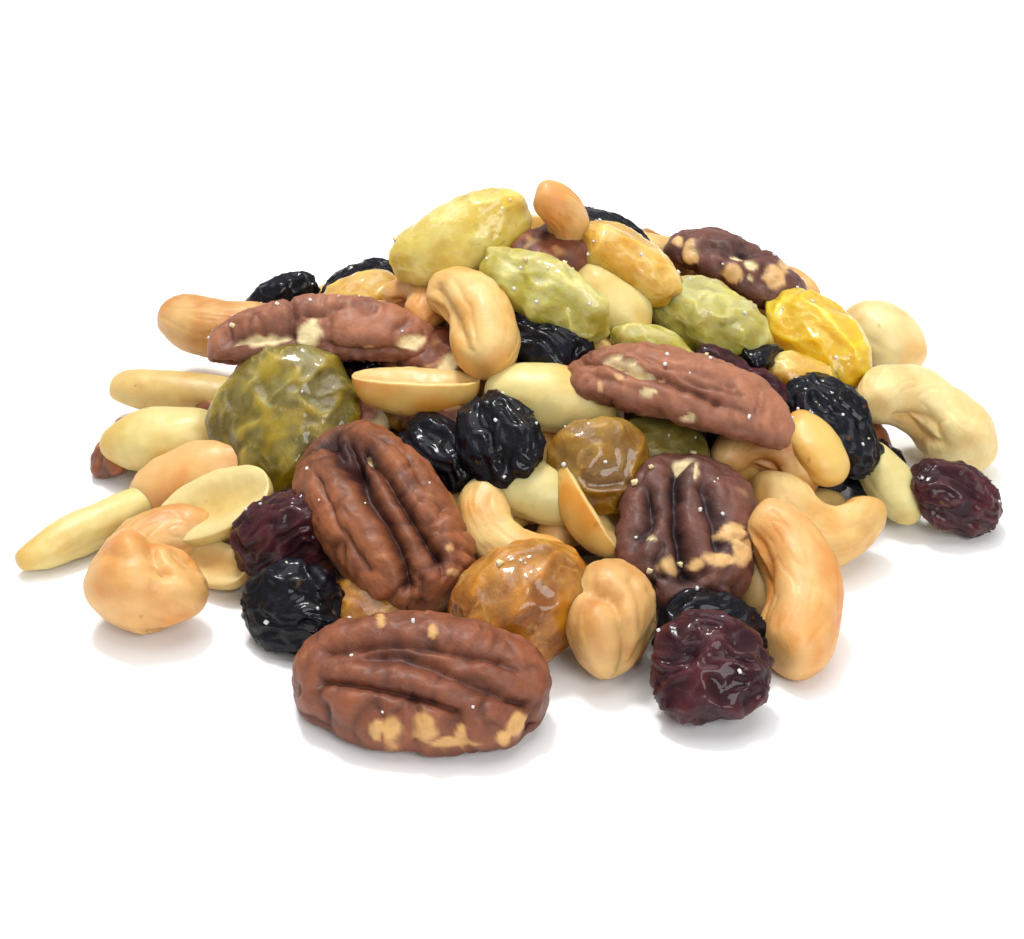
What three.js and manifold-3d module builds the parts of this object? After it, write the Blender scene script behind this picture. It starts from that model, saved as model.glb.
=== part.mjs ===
// A loose heap of trail mix: pecan halves, cashews, peanuts, golden raisins and dark raisins.
// Millimetres, +Z up. The origin is on the surface that the heap lies on, under its middle,
// and the heap's front is towards -Y.
//
// The heap is one solid: a smaller core, with every piece that shows fused on at its true size.

import * as THREE from 'three';
import { mergeVertices } from 'three/addons/utils/BufferGeometryUtils.js';
import Module from 'manifold-3d';

const wasm = await Module();
wasm.setup();

// ---- Driving dimensions ------------------------------------------------------------------

// The mound is the surface that the middles of the outer pieces lie on: a low, slightly
// rounded cone on an oval foot.
const MOUND = { height: 33, reachX: 66, reachY: 62, power: 1.15, midX: 4, midY: 12 };

// The point of the layout that lies under the middle of the finished heap. The heap is moved
// so that this point is the origin.
const MIDDLE = { x: 1.6, y: 3.9 };

// The core's surface is this far below the mound, and its foot is this share of the mound's.
const CORE_DEPTH = 4;
const CORE_FOOT = 0.82;
const CORE_SPOKES = 20;
const CORE_RINGS = 4;

// For each kind: how wide and thick a piece is for its length, and the sides of its mesh,
// along its length and around it. A table row may give a wide or thick of its own.
const KINDS = {
  pecan: { form: pecanForm, wide: 0.56, thick: 0.34, blunt: 0.75, along: 7, around: 12 },
  chip: { form: chipForm, wide: 0.7, thick: 0.4, along: 5, around: 6 },
  cashew: { form: cashewForm, thick: 0.44, along: 7, around: 7 },
  peanut: { form: peanutForm, wide: 0.55, thick: 0.52, blunt: 0.82, along: 6, around: 7 },
  split: { form: splitForm, wide: 0.55, thick: 0.3, along: 5, around: 8 },
  golden: { form: raisinForm, wide: 0.72, thick: 0.5, along: 5, around: 7 },
  dark: { form: raisinForm, wide: 0.75, thick: 0.55, along: 5, around: 6 },
};

// The pieces that lie on the front, the sides and the top. Each row is
//   kind, x, y, lift above the mound, length, turn, tip, roll, and what is special about it.
// A piece is rolled about its length, tipped nose up, turned on the mound's slope, and then
// set down; level: true keeps it from leaning with the slope.
const PIECES = [
  // Foot of the heap, from the left side round the front to the right side.
  ['cashew', -44.4, 28, 1.5, 23, 170, 0, 0, { arc: 50, fat: 0.1, level: true }],
  ['peanut', -51, 14, -1, 21.5, -10, 0, 0, { wide: 0.32, thick: 0.3, blunt: 0.45, level: true }],
  ['chip', -57.5, 1, 0, 12, 60, 0, 0, {}],
  ['peanut', -49.8, -2.6, 1, 18.4, 176, -6, 0, { level: true }],
  ['peanut', -45.5, -13, 0, 19, 0, 0, 0, {}],
  ['peanut', -58, -20.5, 0, 21, 218, -5, 0, { wide: 0.3, thick: 0.3, blunt: 0.6 }],
  ['cashew', -47.5, -28, 0, 20, 60, 0, 0, {}],
  ['cashew', -46.5, -38, 0, 19.4, 170, 0, 60, { thick: 0.72 }],
  ['split', -40, -29, 0, 12, -30, 0, 0, {}],
  ['split', -40, -22, 2, 17, 2, 0, 0, { wide: 0.65 }],
  ['dark', -30, -29.5, 3, 15, 10, 0, 20, {}],
  ['dark', -28.2, -41.5, 0, 13.2, -10, 0, 20, { wide: 0.9 }],
  ['golden', -18.5, -42.5, 0, 13, -20, 0, 0, { wide: 0.9 }],
  ['pecan', -11.2, -58.2, 0, 32, -9, 0, 25, { wide: 0.58, blunt: 0.68 }],
  ['golden', 1.5, -45.2, 4.3, 19, 28, 0, 20, { wide: 0.86, thick: 0.55 }],
  ['cashew', 13, -46.5, 0, 18.5, 90, 0, 60, { thick: 0.7 }],
  ['dark', 25, -48, 0, 14, 0, 0, 25, { wide: 0.9 }],
  ['dark', 24.4, -56, 0, 14.6, 0, 0, 45, { wide: 0.93, thick: 0.58 }],
  ['peanut', 32, -35, 0, 13, -70, 0, 0, {}],
  ['cashew', 34.9, -41, 1, 24.6, -82, 0, 0, { arc: 55 }],
  ['cashew', 41.5, -23.5, 1, 22, 180, 0, -30, {}],
  ['peanut', 53, -12.5, 0, 13, -60, 0, 0, {}],
  ['dark', 62, -15.5, 0, 14, -5, 0, 5, { thick: 0.5 }],
  ['cashew', 59.6, 0.2, 0, 25.6, -5, 0, 0, { fat: 0.22 }],
  ['peanut', 58.7, 29.6, 0, 14.2, -40, 0, 0, { wide: 0.85, thick: 0.8 }],

  // Lower slope.
  ['golden', -32, -9, 1, 22, 20, 0, 30, { wide: 0.9 }],
  ['pecan', -17.5, -31, 4.5, 31.8, -60, 0, 0, { wide: 0.57, blunt: 0.5 }],
  ['chip', -9, -16.5, -1, 13, -40, 0, 0, {}],
  ['dark', -9.5, -21, 0, 13, -50, 0, 0, {}],
  ['dark', -1.5, -23, 3.5, 13.6, -70, 0, 10, { wide: 0.82 }],
  ['cashew', 0.5, -32, 0, 19, 135, 0, 0, {}],
  ['peanut', 3, -27, 0, 15, -20, 0, 0, {}],
  ['split', 9.5, -30.5, 1, 15, -62, 0, -60, {}],
  ['golden', 11.5, -25.5, 3, 13.5, 0, 0, 20, { wide: 0.97 }],
  ['golden', 20, -20, 0, 13, 0, 0, 0, {}],
  ['pecan', 23, -33.5, 4, 22.8, -95, 0, 0, { wide: 0.84, blunt: 0.55 }],
  ['cashew', 34.5, -18, 0, 18, 0, 0, 0, {}],
  ['peanut', 41.8, -16.4, 3.5, 11.5, 120, 0, 0, { wide: 0.7 }],
  ['dark', 45, -9, 2, 16.6, -48, 0, 0, { wide: 0.7 }],
  ['golden', 42.5, 1.5, 0, 12.5, 10, 0, 10, { wide: 0.6 }],
  ['golden', 46, 11.5, 2, 20, -50, 0, 0, { wide: 0.7 }],

  // Upper slope.
  ['pecan', -26.5, 1, 3.5, 34, -2, 0, -35, { wide: 0.37, thick: 0.31, level: true }],
  ['split', -13.2, -12, 1, 17.5, -5, 0, -15, { level: true }],
  ['chip', -11.5, -2.5, -3, 12, -50, 0, 0, {}],
  ['cashew', -6.5, -5, 3, 21, -68, 0, 0, { arc: 52, thick: 0.5 }],
  ['cashew', -14.5, 7, -1, 15, -60, 0, 0, {}],
  ['peanut', 5, -14.5, 0, 17.5, -8, 0, 0, {}],
  ['dark', 4.5, -6.5, 0, 13.5, -30, 0, 0, {}],
  ['golden', 20, -5, 0, 13.5, -20, 0, 0, { wide: 0.5 }],
  ['pecan', 23, -16, 5.5, 32, -13, -10, -20, { wide: 0.47, thick: 0.3, level: true }],
  ['dark', 29, -4.5, 0, 9, -10, 0, 0, {}],
  ['dark', 35, -6, 0, 9, -30, 0, 0, {}],
  ['dark', 35.5, 2, 0, 9, 50, 0, 0, { wide: 0.6 }],
  ['golden', 29, 5, 0.5, 19, -5, 0, 20, { wide: 0.6 }],

  // Top.
  ['peanut', 14, 2.5, 0, 14, -50, 0, 0, { wide: 0.7 }],
  ['golden', 4.5, -1.5, 2.5, 21, -37, 0, 10, { wide: 0.45 }],
  ['chip', 6.5, 7, 1.5, 14, 40, 0, 0, {}],
  ['golden', 16.5, 6, 3.5, 17, -25, 0, 10, { wide: 0.56 }],
  ['golden', -7.5, 10, 4.6, 21.5, 6, 0, 20, { wide: 0.56 }],
  ['cashew', 4.6, 9.5, 2, 18, 0, 78, -90, { thick: 0.35, fat: 0.26 }],
  ['dark', 14.4, 15.5, 1.5, 12.8, -20, 0, 0, {}],
  ['pecan', 35, 24.5, 3, 24, -18, 0, 0, {}],
  ['cashew', 42, 34, 2, 15, -20, 0, 0, {}],
  ['golden', -23.5, 19.5, -2, 13, 0, 0, 0, {}],
  ['dark', -23.5, 26, -2, 13, -10, 0, 0, {}],
  ['dark', -36.5, 31, 1, 12, 10, 0, 0, {}],
  ['dark', -37, 12.5, -3, 13, 70, 0, 0, {}],
  ['peanut', -28, 14, -3, 15, 20, 0, 0, {}],
  ['dark', 49.5, 22, -2, 12, 100, 0, 0, {}],
];

// The back slope is laid by rule, in rings round the mound's middle. The bearings run
// anticlockwise from +X, in degrees, and the outermost ring lies level on the ground.
const BACK_RINGS = [
  { distance: 54, count: 10, from: 44, to: 158, lift: -2, level: true },
  { distance: 42, count: 8, from: 26, to: 156, lift: -1.5, level: false },
  { distance: 29, count: 6, from: 45, to: 165, lift: -1, level: false },
  { distance: 15, count: 3, from: 40, to: 150, lift: -0.5, level: false },
];
const BACK_KINDS = [
  ['cashew', 21],
  ['dark', 13.5],
  ['peanut', 17],
  ['golden', 17],
  ['pecan', 27],
  ['cashew', 20],
  ['dark', 13],
  ['split', 17],
  ['golden', 16],
];
// The left end of the back slope lies lower and nearer: by this much, and by this share of the
// distance, beyond the second of these two bearings.
const BACK_DIP = { depth: 7, pull: 0.17, from: 92, to: 118 };
// Steps between 0 and 1 that never settle into a pattern; they spread the pieces unevenly.
const SPREAD = { place: 0.618034, turn: 0.7548777, roll: 0.5698403 };

// ---- The mound ---------------------------------------------------------------------------

function moundHeight(x, y) {
  const out = Math.hypot((x - MOUND.midX) / MOUND.reachX, (y - MOUND.midY) / MOUND.reachY);
  return MOUND.height * Math.max(0, 1 - out ** MOUND.power);
}

function moundNormal(x, y) {
  const step = 1.5;
  const slopeX = (moundHeight(x + step, y) - moundHeight(x - step, y)) / (2 * step);
  const slopeY = (moundHeight(x, y + step) - moundHeight(x, y - step)) / (2 * step);
  return new THREE.Vector3(-slopeX, -slopeY, 1).normalize();
}

// ---- Forms -------------------------------------------------------------------------------
// A form gives the skin point of a piece: a runs from 0 at the +X tip to pi at the -X tip,
// b runs round the length, from +Y over the top.

function ease(value, low, high) {
  return THREE.MathUtils.smoothstep(value, low, high);
}

function signedPower(value, power) {
  return Math.sign(value) * Math.abs(value) ** power;
}

// Half a pecan, flat side down: two deep grooves run lengthwise between three lobes.
function pecanForm(a, b, { length, wide, thick, blunt }) {
  const top = b < Math.PI;
  const across = top ? 1 - 2 * b / Math.PI : 2 * b / Math.PI - 3;
  const round = Math.sin(a) ** blunt;
  const inner = ease(Math.sin(a), 0.25, 0.7);
  const depth = length * thick;
  const dome = (1 - Math.abs(across) ** 2.4) ** 0.6;
  const groove = Math.exp(-(((Math.abs(across) - 0.3) / 0.11) ** 2)) * inner;
  const hollow = Math.exp(-((across / 0.3) ** 2)) * inner;
  const height = top
    ? 0.66 * depth * round ** 0.8 * dome - 0.42 * depth * groove
    : -0.34 * depth * round * dome + 0.22 * depth * hollow;
  const bend = 0.05 * length * (Math.cos(a) ** 2 - 0.4);
  return [
    length / 2 * Math.cos(a),
    length * wide / 2 * round * signedPower(across, 0.85),
    height - bend - 0.16 * depth,
  ];
}

// A broken-off bit of pecan: a blunt lump with one groove.
function chipForm(a, b, { length, wide, thick }) {
  const round = Math.sin(a) ** 0.6;
  const groove = 0.3 * Math.exp(-((Math.cos(b) / 0.35) ** 2)) * (b < Math.PI ? 1 : 0);
  return [
    length / 2 * Math.cos(a),
    length * wide / 2 * round * Math.cos(b),
    length * thick / 2 * round * Math.sin(b) * (1 - groove),
  ];
}

// A cashew: a fat curved body with round tips, its hollow side towards -Y.
function cashewForm(a, b, { length, thick, arc = 88, fat = 0.12 }) {
  const half = THREE.MathUtils.degToRad(arc);
  const radius = length * thick / 2;
  const bend = length / 2 / Math.sin(Math.min(half * 0.78, Math.PI / 2)) - radius;
  const along = Math.cos(a);
  const body = radius * Math.sin(a) ** 0.55 * (0.93 + 0.12 * along ** 2 + fat * along);
  const out = bend + body * Math.cos(b);
  return [
    out * Math.sin(half * along),
    out * Math.cos(half * along) - bend * (0.5 + 0.5 * Math.cos(half)),
    body * Math.sin(b) * 0.96,
  ];
}

// A whole peanut, with a small nib at its +X tip.
function peanutForm(a, b, { length, wide, thick, blunt }) {
  const round = Math.sin(a) ** blunt;
  const nib = 1 + 0.1 * ease(Math.cos(a), 0.8, 1);
  return [
    length / 2 * Math.cos(a) * nib,
    length * wide / 2 * round * Math.cos(b),
    length * thick / 2 * round * Math.sin(b),
  ];
}

// Half a peanut, its flat, slightly hollow face up.
function splitForm(a, b, { length, wide, thick }) {
  const round = Math.sin(a) ** 0.75;
  const across = Math.cos(b);
  const depth = length * thick;
  const rim = 0.12 * Math.abs(Math.sin(b)) ** 0.5;
  const dish = 0.18 * Math.exp(-((across / 0.55) ** 2)) * round;
  const height = b < Math.PI ? rim - dish : -(Math.abs(Math.sin(b)) ** 0.9);
  return [
    length / 2 * Math.cos(a),
    length * wide / 2 * round * signedPower(across, 0.8),
    depth * round * height + 0.35 * depth,
  ];
}

// A raisin: a soft, dented oval, each with dents of its own.
function raisinForm(a, b, { length, wide, thick, number }) {
  const round = Math.sin(a) ** 0.9;
  const shift = number * 2.4;
  const dent = 0.08 * Math.sin(a)
    * (Math.sin(2 * a + shift) * Math.cos(2 * b + 1.7 * shift) + Math.cos(3 * b + 0.6 * shift));
  return [
    length / 2 * Math.cos(a) * (1 + dent),
    length * wide / 2 * round * Math.cos(b) * (1 + dent),
    length * thick / 2 * round * Math.sin(b) * (1 + dent),
  ];
}

// ---- Solids ------------------------------------------------------------------------------

// A sphere's mesh, with each of its points moved to where the form says.
function formGeometry(form, along, around, size) {
  const geometry = new THREE.SphereGeometry(1, around, along);
  const { position, uv } = geometry.attributes;
  for (let i = 0; i < position.count; i++) {
    const a = Math.PI * (1 - uv.getY(i));
    const b = 2 * Math.PI * (uv.getX(i) % 1);
    const atTip = uv.getY(i) === 0 || uv.getY(i) === 1;
    position.setXYZ(i, ...form(a, atTip ? 0 : b, size));
  }
  return geometry;
}

function toManifold(geometry) {
  geometry.deleteAttribute('normal');
  geometry.deleteAttribute('uv');
  const merged = mergeVertices(geometry, 1e-4);
  return new wasm.Manifold(new wasm.Mesh({
    numProp: 3,
    vertProperties: Float32Array.from(merged.attributes.position.array),
    triVerts: Uint32Array.from(merged.index.array),
  }));
}

function toGeometry(manifold) {
  const { vertProperties, triVerts } = manifold.getMesh();
  const geometry = new THREE.BufferGeometry();
  geometry.setAttribute('position', new THREE.BufferAttribute(vertProperties, 3));
  geometry.setIndex(new THREE.BufferAttribute(triVerts, 1));
  geometry.computeVertexNormals();
  return geometry;
}

// The core: a flat-bottomed oval cone, CORE_DEPTH under the mound.
function makeCore() {
  const profile = [new THREE.Vector2(0, 0), new THREE.Vector2(CORE_FOOT, 0)];
  for (let ring = 0; ring <= CORE_RINGS; ring++) {
    const out = CORE_FOOT * (1 - ring / CORE_RINGS);
    profile.push(new THREE.Vector2(out, MOUND.height * (1 - out ** MOUND.power) - CORE_DEPTH));
  }
  const geometry = new THREE.LatheGeometry(profile, CORE_SPOKES);
  geometry.rotateX(Math.PI / 2);
  geometry.scale(MOUND.reachX, MOUND.reachY, 1);
  geometry.translate(MOUND.midX, MOUND.midY, 0);
  return toManifold(geometry);
}

// One piece, turned to lie on the slope and let down to its place, but never below the ground.
function makePiece([kind, x, y, lift, length, turn, tip, roll, special], number) {
  const { form, along, around, ...proportions } = KINDS[kind];
  const geometry = formGeometry(form, along, around, { ...proportions, ...special, length, number });
  const up = new THREE.Vector3(0, 0, 1);
  const slope = special.level ? up : moundNormal(x, y);
  const radians = THREE.MathUtils.degToRad;
  const lean = new THREE.Quaternion().setFromUnitVectors(up, slope);
  const pose = new THREE.Quaternion().setFromEuler(
    new THREE.Euler(radians(roll), -radians(tip), radians(turn), 'ZYX'),
  );
  geometry.applyQuaternion(lean.multiply(pose));
  geometry.computeBoundingBox();
  const height = Math.max(moundHeight(x, y) + lift, -geometry.boundingBox.min.z);
  geometry.translate(x, y, height);
  return toManifold(geometry);
}

// The rows of the back slope, in the same form as PIECES.
function backPieces() {
  const rows = [];
  for (const ring of BACK_RINGS) {
    for (let i = 0; i < ring.count; i++) {
      const number = rows.length;
      const [kind, usual] = BACK_KINDS[number % BACK_KINDS.length];
      const place = (number * SPREAD.place) % 1;
      const turn = (number * SPREAD.turn) % 1;
      const roll = (number * SPREAD.roll) % 1;
      const bearing = ring.from + (ring.to - ring.from) * (i + 0.25 + 0.5 * place) / ring.count;
      const angle = THREE.MathUtils.degToRad(bearing);
      const slide = THREE.MathUtils.clamp((bearing - BACK_DIP.from) / (BACK_DIP.to - BACK_DIP.from), 0, 1);
      const distance = (ring.distance + 3 * (turn - 0.5)) * (1 - BACK_DIP.pull * slide);
      rows.push([
        kind,
        MOUND.midX + distance * Math.cos(angle),
        MOUND.midY + distance * Math.sin(angle),
        ring.lift - BACK_DIP.depth * slide,
        usual * (0.9 + 0.2 * place),
        360 * turn,
        ring.level ? 0 : 20 * (place - 0.5),
        ring.level ? 0 : 40 * (roll - 0.5),
        { level: ring.level },
      ]);
    }
  }
  return rows;
}

// The core and the pieces as one solid. Only its outer shell is kept, so a hollow that the
// pieces close off is filled.
function makeHeap() {
  const pieces = [...PIECES, ...backPieces()].map(makePiece);
  const fused = pieces.reduce((heap, piece) => heap.add(piece), makeCore());
  const shells = fused.decompose();
  return shells.reduce((best, shell) => (shell.volume() > best.volume() ? shell : best));
}

// ---- The part ----------------------------------------------------------------------------

const nutBrown = new THREE.MeshStandardMaterial({ color: '#c08b4f', roughness: 0.55, metalness: 0 });
const heap = new THREE.Mesh(toGeometry(makeHeap()), nutBrown);
heap.name = 'trail_mix_heap';
heap.position.set(-MIDDLE.x, -MIDDLE.y, 0);

const trailMix = new THREE.Group();
trailMix.add(heap);
export default trailMix;
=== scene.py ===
"""A loose heap of trail mix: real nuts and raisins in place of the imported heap's one solid.

The layout is in millimetres, +Z up, with the front towards -Y. The point MIDDLE of the layout
lies over the frame's origin, so finished pieces are moved by it and then turned to metres.
"""

from functools import lru_cache

import bpy
import numpy as np
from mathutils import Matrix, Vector


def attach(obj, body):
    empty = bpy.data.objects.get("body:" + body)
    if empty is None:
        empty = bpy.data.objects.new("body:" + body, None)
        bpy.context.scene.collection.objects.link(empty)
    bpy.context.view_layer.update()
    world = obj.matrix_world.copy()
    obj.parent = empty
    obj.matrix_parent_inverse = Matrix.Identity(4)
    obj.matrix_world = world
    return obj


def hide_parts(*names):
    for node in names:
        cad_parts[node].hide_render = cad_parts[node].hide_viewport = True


NODE = "trail_mix_heap"
MILLIMETRE = 0.001

# ---- The layout ----

# The surface that the middles of the outer pieces lie on: a low cone on an oval foot.
MOUND_HEIGHT = 33
MOUND_REACH = np.array([66, 62])
MOUND_POWER = 1.15
MOUND_MIDDLE = np.array([4, 12])
MIDDLE = np.array([1.6, 3.9, 0])

# The pieces that show on the front, the sides and the top. Each row is
#   kind, x, y, lift above the mound, length, turn, tip, roll, tint, and what is special.
# A piece is rolled about its length, tipped nose up, turned on the slope and set down. Special
# are proportions unlike the kind's in KINDS; level, which keeps a piece from leaning with the
# slope; ripple and rugged, how strong its fine lines or its dents are; and marks, its place in
# MARKS.
PIECES = [
    # Foot of the heap, from the left side round the front to the right side.
    ("cashew", -44.4, 28, 1.5, 23, 170, 0, 0, "toasted", {"arc": 50, "fat": 0.1, "level": True}),
    ("peanut", -51, 14, -1, 21.5, -10, 0, 0, "sand",
     {"wide": 0.32, "thick": 0.3, "blunt": 0.45, "level": True}),
    ("bit", -57.5, 1, 0, 12, 60, 0, 0, "warm", {}),
    ("peanut", -49.8, -2.6, 1, 18.4, 176, -6, 0, "pale", {"level": True}),
    ("peanut", -45.5, -13, 0, 19, 0, 0, 0, "peach", {}),
    ("peanut", -58, -20.5, 0, 21, 218, -5, 0, "pale", {"wide": 0.3, "thick": 0.3, "blunt": 0.6}),
    ("cashew", -47.5, -28, 0, 20, 60, 0, 0, "toasted", {}),
    ("cashew", -46.5, -38, 0, 19.4, 170, 0, 60, "peach", {"thick": 0.72, "marks": "left cashew"}),
    ("split", -40, -29, 0, 12, -30, 0, 0, "sand", {}),
    ("split", -40, -22, 2, 17, 2, 0, 0, "pale", {"wide": 0.65}),
    ("dark", -30, -29.5, 3, 15, 10, 0, 20, "purple", {}),
    ("dark", -28.2, -41.5, 0, 13.2, -10, 0, 20, "black", {"wide": 0.9}),
    ("golden", -18.5, -42.5, 0, 13, -20, 0, 0, "amber", {"wide": 0.9}),
    ("pecan", -11.2, -58.2, 0, 32, -9, 0, 25, "plum",
     {"wide": 0.58, "blunt": 0.68, "marks": "front pecan"}),
    ("golden", 1.5, -45.2, 4.3, 19, 28, 0, 20, "amber", {"wide": 0.86, "thick": 0.55}),
    ("cashew", 13, -46.5, 0, 18.5, 90, 0, 60, "toasted", {"thick": 0.7, "marks": "front cashew"}),
    ("dark", 25, -48, 0, 14, 0, 0, 25, "black", {"wide": 0.9}),
    ("dark", 24.4, -56, 0, 14.6, 0, 0, 45, "purple", {"wide": 0.93, "thick": 0.58}),
    ("peanut", 32, -35, 0, 13, -70, 0, 0, "tan", {}),
    ("cashew", 34.9, -41, 1, 24.6, -82, 0, 0, "peach", {"arc": 55}),
    ("cashew", 41.5, -23.5, 1, 22, 180, 0, -30, "cream", {}),
    ("peanut", 53, -12.5, 0, 13, -60, 0, 0, "green", {}),
    ("dark", 62, -15.5, 0, 14, -5, 0, 5, "purple", {"thick": 0.5}),
    ("cashew", 59.6, 0.2, 0, 25.6, -5, 0, 0, "ivory", {"fat": 0.22}),
    ("peanut", 58.7, 29.6, 0, 14.2, -40, 0, 0, "ivory", {"wide": 0.85, "thick": 0.8}),
    # Lower slope.
    ("golden", -32, -9, 1, 22, 20, 0, 30, "olive", {"wide": 0.9}),
    ("pecan", -17.5, -31, 4.5, 31.8, -60, 0, 0, "warm",
     {"wide": 0.57, "blunt": 0.5, "marks": "left pecan"}),
    ("bit", -9, -16.5, -1, 13, -40, 0, 0, "plum", {}),
    ("dark", -9.5, -21, 0, 13, -50, 0, 0, "black", {}),
    ("dark", -1.5, -23, 3.5, 13.6, -70, 0, 10, "black", {"wide": 0.82}),
    ("cashew", 0.5, -32, 0, 19, 135, 0, 0, "cream", {}),
    ("peanut", 3, -27, 0, 15, -20, 0, 0, "green", {}),
    ("split", 9.5, -30.5, 1, 15, -62, 0, -60, "honey", {}),
    ("golden", 11.5, -25.5, 3, 13.5, 0, 0, 20, "ochre", {"wide": 0.97}),
    ("golden", 20, -20, 0, 13, 0, 0, 0, "moss", {}),
    ("pecan", 23, -33.5, 4, 22.8, -95, 0, 0, "dusk",
     {"wide": 0.84, "blunt": 0.55, "ripple": 0.16, "marks": "dark pecan"}),
    ("cashew", 34.5, -18, 0, 18, 0, 0, 0, "toasted", {}),
    ("peanut", 41.8, -16.4, 3.5, 11.5, 120, 0, 0, "honey", {"wide": 0.7}),
    ("dark", 45, -9, 2, 16.6, -48, 0, 0, "black", {"wide": 0.7}),
    ("golden", 42.5, 1.5, 0, 12.5, 10, 0, 10, "topaz", {"wide": 0.6}),
    ("golden", 46, 11.5, 2, 20, -50, 0, 0, "yellow", {"wide": 0.7}),
    # Upper slope.
    ("pecan", -26.5, 1, 3.5, 34, -2, 0, -35, "rose",
     {"wide": 0.37, "thick": 0.31, "level": True, "ripple": 0.12, "marks": "long pecan"}),
    ("split", -13.2, -12, 1, 17.5, -5, 0, -15, "honey", {"level": True}),
    ("bit", -11.5, -2.5, -3, 12, -50, 0, 0, "plum", {}),
    ("cashew", -6.5, -5, 3, 21, -68, 0, 0, "cream", {"arc": 52, "thick": 0.5, "marks": "upper cashew"}),
    ("cashew", -14.5, 7, -1, 15, -60, 0, 0, "peach", {}),
    ("peanut", 5, -14.5, 0, 17.5, -8, 0, 0, "pale", {}),
    ("dark", 4.5, -6.5, 0, 13.5, -30, 0, 0, "black", {}),
    ("golden", 20, -5, 0, 13.5, -20, 0, 0, "lime", {"wide": 0.5}),
    ("pecan", 23, -16, 5.5, 32, -13, -10, -20, "rose",
     {"wide": 0.47, "thick": 0.3, "level": True, "ripple": 0.13, "marks": "upper pecan"}),
    ("dark", 29, -4.5, 0, 9, -10, 0, 0, "purple", {}),
    ("dark", 35, -6, 0, 9, -30, 0, 0, "purple", {}),
    ("dark", 35.5, 2, 0, 9, 50, 0, 0, "black", {"wide": 0.6}),
    ("golden", 29, 5, 0.5, 19, -5, 0, 20, "lime", {"wide": 0.6}),
    # Top.
    ("peanut", 14, 2.5, 0, 14, -50, 0, 0, "pale", {"wide": 0.7}),
    ("golden", 4.5, -1.5, 2.5, 21, -37, 0, 10, "lime", {"wide": 0.45}),
    ("bit", 6.5, 7, 1.5, 14, 40, 0, 0, "plum", {}),
    ("golden", 16.5, 6, 3.5, 17, -25, 0, 10, "topaz", {"wide": 0.56}),
    ("golden", -7.5, 10, 4.6, 21.5, 6, 0, 20, "straw", {"wide": 0.56, "rugged": 0.5}),
    ("cashew", 4.6, 9.5, 2, 18, 0, 78, -90, "peach", {"thick": 0.35, "fat": 0.26}),
    ("dark", 14.4, 15.5, 1.5, 12.8, -20, 0, 0, "black", {"rugged": 0.5}),
    ("pecan", 35, 24.5, 3, 24, -18, 0, 0, "dusk", {"marks": "top pecan"}),
    ("cashew", 42, 34, 2, 15, -20, 0, 0, "peach", {}),
    ("golden", -23.5, 19.5, -2, 13, 0, 0, 0, "topaz", {}),
    ("dark", -23.5, 26, -2, 13, -10, 0, 0, "black", {}),
    ("dark", -36.5, 31, 1, 12, 10, 0, 0, "black", {}),
    ("dark", -37, 12.5, -3, 13, 70, 0, 0, "purple", {}),
    ("peanut", -28, 14, -3, 15, 20, 0, 0, "honey", {}),
    ("dark", 49.5, 22, -2, 12, 100, 0, 0, "black", {}),
]

# The back slope is laid by rule, in rings round the mound's middle: distance, count, first and
# last bearing, lift, and whether the ring's pieces lie level.
BACK_RINGS = [
    (54, 10, 44, 158, -2, True),
    (42, 8, 26, 156, -1.5, False),
    (29, 6, 45, 165, -1, False),
    (15, 3, 40, 150, -0.5, False),
]
BACK_KINDS = [
    ("cashew", 21, "cream"), ("dark", 13.5, "black"), ("peanut", 17, "pale"),
    ("golden", 17, "amber"), ("pecan", 27, "warm"), ("cashew", 20, "peach"), ("dark", 13, "purple"),
    ("split", 17, "honey"), ("golden", 16, "lime"),
]
# The left end of the back slope lies lower and nearer: by this much, and by this share of the
# distance, beyond the second of these two bearings.
BACK_DIP = 7
BACK_PULL = 0.17
BACK_DIP_BEARINGS = (92, 118)
# From the least to the most, how much the distance, the length, the tip and the roll vary.
BACK_DISTANCE_SPREAD = 3
BACK_LENGTH_SPREAD = 0.2
BACK_TIP_SPREAD = 20
BACK_ROLL_SPREAD = 40
# Steps between 0 and 1 that never settle into a pattern; they spread the pieces unevenly.
SPREAD_PLACE = 0.618034
SPREAD_TURN = 0.7548777
SPREAD_ROLL = 0.5698403

# Under the outer pieces lie smaller ones, half sunk in the core, so that no gap shows it.
FILL_COUNT = 84
FILL_SHARE = 0.8
# At the back they stay inside this share of the mound, so that they lie behind the outer ring.
FILL_BACK_SHARE = 0.68
FILL_LIFT = -5
FILL_KINDS = [
    ("peanut", 14, "honey"), ("cashew", 17, "toasted"), ("bit", 12, "plum"), ("peanut", 13, "sand"),
    ("dark", 12, "black"), ("bit", 13, "warm"), ("golden", 13, "ochre"),
]
GOLDEN_ANGLE = 2.399963

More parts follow.
